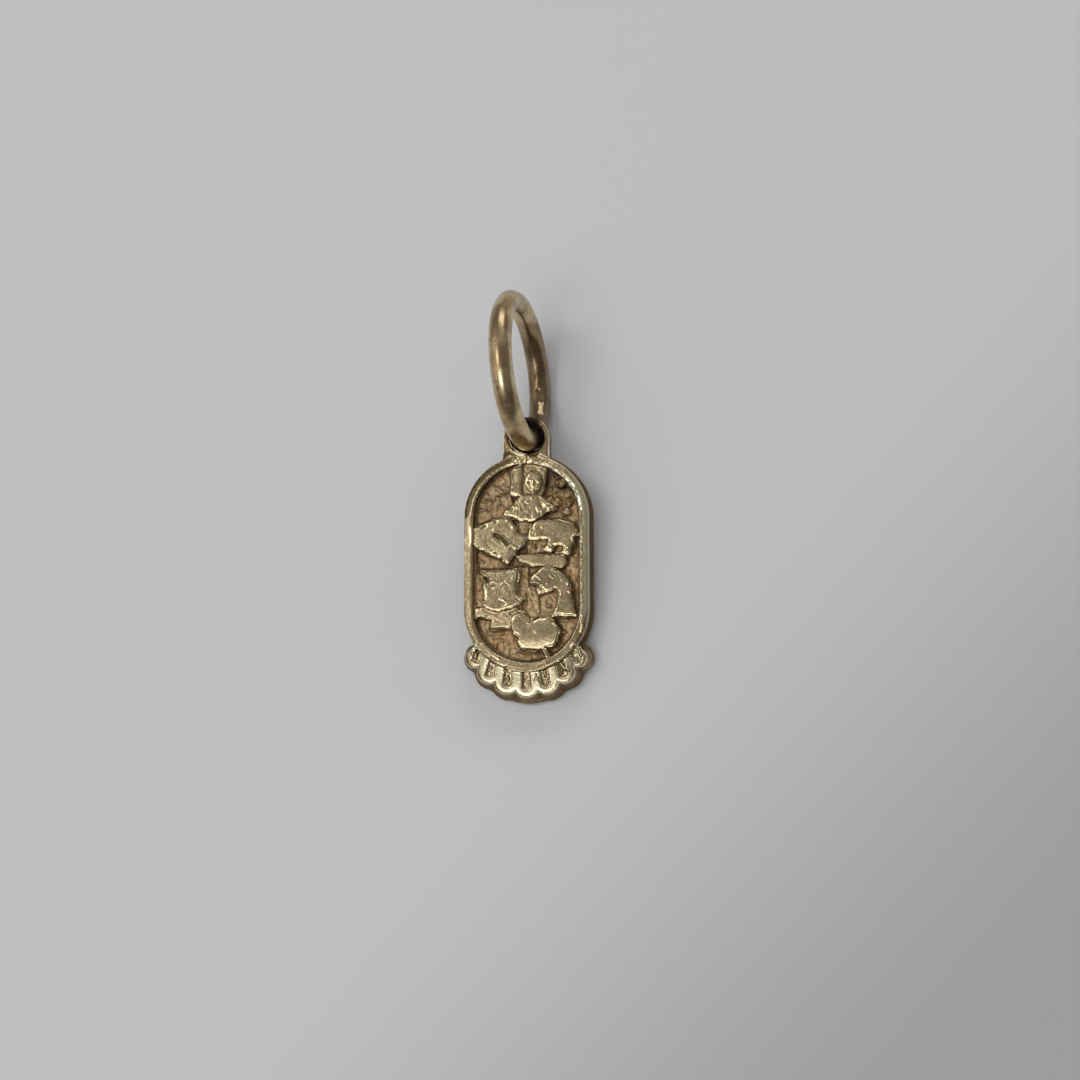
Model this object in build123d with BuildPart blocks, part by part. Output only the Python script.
from build123d import *
import os
from math import asin, atan2, cos, degrees, hypot, radians, sin

# A small cast pendant in millimetres, lying on its back on a table with its jump ring standing
# on edge through the lug. +Y runs from the scalloped foot to the lug, +Z is up.

# Plaque: a base, and a rim on it around a sunk field with round ends
plaque_thickness = 1.35
base_thickness = 0.4
base_ledge = 0.15
field_width = 5.84
field_length = 10.8
field_depth = 0.58
rim_width = 0.5
rim_round = 0.14

# Scalloped foot: a fan of lobes, each with a sunk cell
foot_length = 2.22
foot_half_width = 3.05
foot_shoulder = 3.2
shoulder_corner = 0.45
foot_step = 0.1
foot_margin = 0.43
end_margin = 0.33
scallop_depth = 0.05
fan_radius = 4.8
fan_half_width = 4.0
lobe_count = 7
lobe_pitch = 16.8
lobe_radius = 0.69
end_lobe_radius = 0.41
lobe_flare = 0.3
lobe_round = 0.1
cell_inset = 1.33
cell_width = 0.46
cell_length = 1.08
end_cell_length = 0.78
cell_depth = 0.35
cell_corner = 0.12
cell_turn = 0.5

# Lug: a flat eye above the rim, its hole a little wider than long
lug_hole = 1.8
lug_hole_spread = 0.3
lug_wall = 0.22
lug_neck = 0.05
lug_thickness = 0.95
lug_step = 0.05

# Jump ring of round wire, and how it passes the lug and leans
wire = 1.2
ring_inner = 6.38
crossing_angle = 16.5
wire_drop = 0.07
wire_shift = 0.19
ring_lean = 6.8
ring_turn = 2.9

# Raised figures: how far each level stands above the field's floor, and how deep the marks in
# the horseshoe are, as shares of the field's depth
full = 0.93
middle = 0.6
low = 0.34
slot_depth = 0.35
nail_depth = 0.18
nail_hole = 0.24
nail_turn = -38
face_width = 0.86
face_height = 1.1
face_place = (0.14, 0.81)

# Outlines as shares of the field's half width and half length, from the field's middle.
# Each is a loop of runs, and each run starts where the one before it ends, the first run at
# the last run's end.
figures = {
    "headdress": (full, [
        (Polyline, [(-0.07, 1.0), (-0.22, 0.96), (-0.28, 0.9), (-0.26, 0.79), (-0.29, 0.69),
                    (-0.09, 0.68)]),
    ]),
    "hair": (middle, [
        (Polyline, [(-0.09, 0.66), (-0.1, 1.0), (0.38, 0.97)]),
        (Spline, [(0.37, 0.86), (0.34, 0.76), (0.27, 0.66)]),
    ]),
    "collar": (full, [
        (Polyline, [(0.26, 0.68), (-0.08, 0.68), (-0.25, 0.58), (-0.44, 0.5)]),
        (Spline, [(-0.21, 0.45), (0.04, 0.41), (0.26, 0.45), (0.4, 0.51)]),
        (Polyline, [(0.57, 0.54), (0.4, 0.6)]),
    ]),
    "shoulder": (low, [
        (Polyline, [(-0.24, 0.58), (-0.36, 0.71)]),
        (Spline, [(-0.5, 0.69), (-0.64, 0.61), (-0.66, 0.5), (-0.52, 0.43)]),
        (Polyline, [(-0.2, 0.44)]),
    ]),
    "horseshoe": (full, [
        (Polyline, [(-1.05, 0.32)]),
        (Spline, [(-0.9, 0.37), (-0.68, 0.425), (-0.44, 0.45), (-0.3, 0.44)]),
        (Polyline, [(-0.17, 0.33), (-0.1, 0.27), (0.06, 0.26), (0.01, 0.22), (-0.08, 0.16),
                    (-0.2, 0.12), (-0.2, 0.08), (-0.35, -0.015), (-0.43, 0.01), (-0.45, 0.05)]),
        (Spline, [(-0.66, 0.085), (-0.86, 0.145), (-1.05, 0.22)]),
    ]),
    "trunk": (middle, [
        (Polyline, [(-0.12, 0.28), (-0.18, 0.4), (-0.09, 0.41), (0.12, 0.385), (0.12, 0.25)]),
    ]),
    "elephant": (full, [
        (Polyline, [(0.0, 0.235), (0.06, 0.25)]),
        (Spline, [(0.09, 0.34), (0.2, 0.4), (0.4, 0.415), (0.66, 0.41), (0.84, 0.38), (0.97, 0.3)]),
        (Polyline, [(0.99, 0.265), (0.91, 0.26), (0.89, 0.19), (0.84, 0.135), (0.83, 0.08),
                    (0.62, 0.09)]),
        (Spline, [(0.69, 0.14), (0.63, 0.18), (0.54, 0.155), (0.53, 0.11)]),
        (Polyline, [(0.46, 0.095), (0.31, 0.13), (0.4, 0.165), (0.42, 0.225), (0.38, 0.24),
                    (0.2, 0.23)]),
    ]),
    "bar": (middle, [
        (Polyline, [(-0.2, 0.075), (0.12, 0.085), (0.28, 0.07), (0.7, 0.075), (0.74, 0.05),
                    (0.74, -0.02), (0.66, -0.06), (0.46, -0.035), (0.25, -0.03), (0.1, -0.03),
                    (-0.02, 0.0), (-0.14, 0.01)]),
    ]),
    "owl": (full, [
        (Polyline, [(-0.92, -0.085), (-0.55, -0.07), (-0.35, -0.08), (-0.17, -0.065)]),
        (Spline, [(-0.13, -0.16), (-0.18, -0.26), (-0.12, -0.35)]),
        (Polyline, [(-0.04, -0.375), (-0.15, -0.42)]),
        (Spline, [(-0.3, -0.45), (-0.5, -0.485), (-0.7, -0.46), (-0.81, -0.42)]),
        (Spline, [(-0.79, -0.33), (-0.8, -0.21)]),
        (Polyline, [(-0.66, -0.2), (-0.66, -0.17), (-0.78, -0.135)]),
    ]),
    "wing": (low, [
        (Polyline, [(-0.97, -0.13), (-0.9, -0.09), (-0.66, -0.17), (-0.74, -0.44), (-0.95, -0.43)]),
    ]),
    "beast": (full, [
        (Polyline, [(0.07, -0.21), (0.11, -0.14), (0.24, -0.08), (0.36, -0.035)]),
        (Spline, [(0.56, -0.08), (0.74, -0.16), (0.82, -0.27), (0.86, -0.42)]),
        (Polyline, [(0.93, -0.55), (0.62, -0.525), (0.46, -0.55), (0.57, -0.47), (0.62, -0.32),
                    (0.54, -0.255), (0.47, -0.29), (0.34, -0.3), (0.18, -0.33), (0.19, -0.27),
                    (0.28, -0.23)]),
    ]),
    "post": (middle, [
        (Polyline, [(0.0, -0.54), (-0.01, -0.4)]),
        (Spline, [(0.01, -0.28), (0.09, -0.24), (0.19, -0.28)]),
        (Polyline, [(0.22, -0.4), (0.23, -0.54), (0.1, -0.57)]),
    ]),
    "pocket floor": (low, [
        (Polyline, [(0.2, -0.55), (0.2, -0.5), (0.6, -0.5), (0.62, -0.54)]),
    ]),
    "ledge": (middle, [
        (Polyline, [(-0.98, -0.57), (-0.96, -0.46), (-0.75, -0.44), (-0.6, -0.5), (-0.62, -0.56),
                    (-0.9, -0.54)]),
    ]),
    "block": (middle, [
        (Polyline, [(-0.66, -0.67), (-0.64, -0.46), (-0.2, -0.44), (-0.02, -0.5), (-0.2, -0.66),
                    (-0.38, -0.65), (-0.5, -0.67)]),
    ]),
    "clover": (full, [
        (Spline, [(0.0, -0.535), (-0.12, -0.505), (-0.24, -0.54), (-0.27, -0.62), (-0.22, -0.71),
                  (-0.11, -0.735)]),
        (Spline, [(-0.15, -0.8), (-0.08, -0.85), (0.06, -0.885), (0.18, -0.885), (0.28, -0.85)]),
        (Polyline, [(0.38, -0.96), (0.46, -0.95), (0.36, -0.87), (0.29, -0.81)]),
        (Spline, [(0.4, -0.845), (0.53, -0.83), (0.58, -0.76)]),
        (Spline, [(0.62, -0.69), (0.57, -0.63), (0.48, -0.57), (0.32, -0.555), (0.12, -0.595)]),
    ]),
}
horseshoe_slot = [
    (Polyline, [(-0.55, 0.3), (-0.44, 0.26), (-0.33, 0.19), (-0.19, 0.115), (-0.33, 0.145),
                (-0.49, 0.22), (-0.62, 0.26), (-0.63, 0.29)]),
]

# Places as the same shares. A bead's third number is its radius as a share of the field's half
# width.
nail_holes = [(-0.77, 0.36), (-0.56, 0.4), (-0.34, 0.36), (-0.83, 0.26), (-0.71, 0.18),
              (-0.57, 0.11), (-0.22, 0.22)]
beads = [(0.64, 0.8, 0.1), (0.43, 0.64, 0.07), (0.56, 0.61, 0.09), (0.79, 0.62, 0.08), (0.73, 0.51, 0.08)]

# Places along the plaque, from the lower edge of its foot
foot_end = foot_length + field_width / 2
lug_end = foot_length + field_length - field_width / 2
field_middle = (foot_end + lug_end) / 2
rim_half = field_width / 2 + rim_width
hole_y = lug_end + rim_half + lug_neck + lug_hole / 2
floor_height = plaque_thickness - field_depth
foot_top = plaque_thickness - foot_step
lug_top = plaque_thickness - lug_step
lug_back = lug_top - lug_thickness
lug_height = lug_hole + 2 * lug_wall
lug_width = lug_height + lug_hole_spread
lobe_ring = fan_radius - foot_margin - lobe_radius
cell_ring = fan_radius - cell_inset

# How the pendant lies: the foot's lower edge and the ring touch the table, and the ring's wire
# carries the lug, so the plaque's tilt follows from the sizes
wire_radius = wire / 2
ring_radius = (ring_inner + wire) / 2
crossing_y = hole_y - wire_drop
crossing = radians(crossing_angle)
lean = radians(ring_lean)
turn = radians(ring_turn)
standing = ring_radius * cos(lean)
reach = crossing_y + standing * cos(crossing)
crossing_height = (lug_back + lug_top) / 2
rise = crossing_height + standing * sin(crossing)
tilt = asin((standing + wire_radius) / hypot(reach, rise)) - atan2(rise, reach)

along = Vector(-sin(turn), cos(turn), 0)
upward = Vector(-sin(lean) * cos(turn), -sin(lean) * sin(turn), cos(lean))
crossing_point = Vector(
    wire_shift,
    crossing_y * cos(tilt) - crossing_height * sin(tilt),
    crossing_y * sin(tilt) + crossing_height * cos(tilt),
)
to_centre = along * (ring_radius * cos(tilt + crossing)) + upward * (ring_radius * sin(tilt + crossing))
ring_centre = crossing_point + to_centre
foot_overhang = base_thickness * sin(tilt)
total_length = foot_overhang + ring_centre.Y + ring_radius * hypot(along.Y, upward.Y) + wire_radius
table_origin = Vector(0, foot_overhang - total_length / 2, 0)

bed = Plane(origin=table_origin, x_dir=(1, 0, 0), z_dir=(0, -sin(tilt), cos(tilt)))
ring_plane = Plane(origin=table_origin + ring_centre, x_dir=along, z_dir=along.cross(upward))


def in_field(across, up):
    """A place in the field, from shares of its half width and half length."""
    return (across * field_width / 2, field_middle + up * field_length / 2)


def long_outline(half_width):
    """The plaque's outline, with straight sides and round ends."""
    with Locations((0, field_middle)):
        SlotCenterToCenter(lug_end - foot_end, 2 * half_width, rotation=90)


def closed_outline(runs):
    """A face bounded by runs of points in the field."""
    with BuildLine() as outline:
        start = in_field(*runs[-1][1][-1])
        for curve, shares in runs:
            points = [in_field(across, up) for across, up in shares]
            curve(start, *points)
            start = points[-1]
    make_face(outline.edges())


def fan_place(radius, step):
    """A place in the foot's fan, so many lobes to the side of its middle."""
    angle = radians(step * lobe_pitch)
    return (radius * sin(angle), fan_radius - radius * cos(angle))


def towards_end(middle_size, end_size, step):
    """A size that changes from the foot's middle lobe to its end lobes."""
    return middle_size + (end_size - middle_size) * (step / lobe_steps[-1]) ** 2


def lobe(top_radius):
    """A flared lobe with its top edge rolled over."""
    with BuildPart() as piece:
        Cone(
            top_radius + lobe_flare,
            top_radius,
            foot_top - base_thickness,
            align=(Align.CENTER, Align.CENTER, Align.MIN),
        )
        fillet(piece.edges().sort_by(Axis.Z)[-1], min(lobe_round, top_radius / 2))
    return piece.part


lobe_steps = [index - (lobe_count - 1) / 2 for index in range(lobe_count)]
face_normal = Axis(bed.origin, bed.z_dir)

with BuildPart(bed) as plaque:
    # Base with its ledge, under the field and under the foot
    with BuildSketch(bed):
        long_outline(rim_half + base_ledge)
    extrude(amount=base_thickness)
    with BuildSketch(bed) as foot_outline:
        with Locations((0, fan_radius)):
            Ellipse(fan_half_width, fan_radius - scallop_depth)
        with Locations((0, foot_shoulder / 2)):
            Rectangle(2 * (foot_half_width + foot_margin), foot_shoulder, mode=Mode.INTERSECT)
        fillet(foot_outline.vertices().group_by(Axis.Y)[-1], shoulder_corner)
        for step in lobe_steps:
            with Locations(fan_place(lobe_ring, step)):
                Circle(towards_end(lobe_radius + foot_margin, end_lobe_radius + end_margin, step))
    extrude(amount=base_thickness)

    # Rim with its rolled outer edge
    with BuildSketch(bed.offset(base_thickness)):
        long_outline(rim_half)
    extrude(amount=plaque_thickness - base_thickness)
    fillet(plaque.faces().sort_by(face_normal)[-1].edges(), rim_round)

    # Foot: a web with the flared lobes around it
    with BuildSketch(bed.offset(base_thickness)) as web:
        with Locations((0, fan_radius)):
            Circle(lobe_ring)
        with Locations((0, foot_shoulder / 2)):
            Rectangle(2 * foot_half_width, foot_shoulder, mode=Mode.INTERSECT)
        fillet(web.vertices().group_by(Axis.Y)[-1], shoulder_corner)
    extrude(amount=foot_top - base_thickness)
    for step in lobe_steps:
        with Locations((*fan_place(lobe_ring, step), base_thickness)):
            add(lobe(towards_end(lobe_radius, end_lobe_radius, step)))

    # Cells sunk in the lobes
    with BuildSketch(bed.offset(foot_top)):
        for step in lobe_steps:
            with Locations(fan_place(cell_ring, step)):
                RectangleRounded(
                    cell_width,
                    towards_end(cell_length, end_cell_length, step),
                    cell_corner,
                    rotation=step * lobe_pitch * cell_turn,
                )
    extrude(amount=-cell_depth, mode=Mode.SUBTRACT)

    # Lug
    with BuildSketch(bed.offset(lug_back)):
        with Locations((0, hole_y)):
            SlotCenterToCenter(lug_hole_spread, lug_height)
        with Locations((0, (hole_y + lug_end) / 2)):
            Rectangle(lug_width, hole_y - lug_end)
    extrude(amount=lug_thickness)
    with BuildSketch(bed):
        with Locations((0, hole_y)):
            SlotCenterToCenter(lug_hole_spread, lug_hole)
    extrude(amount=plaque_thickness, mode=Mode.SUBTRACT)

    # Sunk field
    with BuildSketch(bed.offset(floor_height)):
        long_outline(field_width / 2)
    extrude(amount=field_depth, mode=Mode.SUBTRACT)

    # Raised figures, flat on top as they are worn
    for level, runs in figures.values():
        with BuildSketch(bed.offset(floor_height)):
            closed_outline(runs)
        extrude(amount=level * field_depth)
    for across, up, size in beads:
        with Locations((*in_field(across, up), floor_height)):
            Sphere(size * field_width / 2)
    with BuildSketch(bed.offset(floor_height + middle * field_depth)):
        with Locations(in_field(*face_place)):
            Ellipse(face_width / 2, face_height / 2)
    extrude(amount=(full - middle) * field_depth)

    # Marks sunk in the horseshoe
    horseshoe_top = floor_height + full * field_depth
    with BuildSketch(bed.offset(horseshoe_top)):
        closed_outline(horseshoe_slot)
    extrude(amount=-slot_depth * field_depth, mode=Mode.SUBTRACT)
    with BuildSketch(bed.offset(horseshoe_top)):
        for across, up in nail_holes:
            with Locations(in_field(across, up)):
                Rectangle(nail_hole, nail_hole, rotation=nail_turn)
    extrude(amount=-nail_depth * field_depth, mode=Mode.SUBTRACT)
plaque.part.label = "plaque"

with BuildPart(ring_plane) as jump_ring:
    Torus(ring_radius, wire_radius)
jump_ring.part.label = "jump_ring"

os.makedirs("parts", exist_ok=True)
export_step(plaque.part, "parts/plaque.step")
export_step(jump_ring.part, "parts/jump_ring.step")
print(f"plaque tilt {degrees(tilt):.2f} degrees, total length {total_length:.2f} mm")
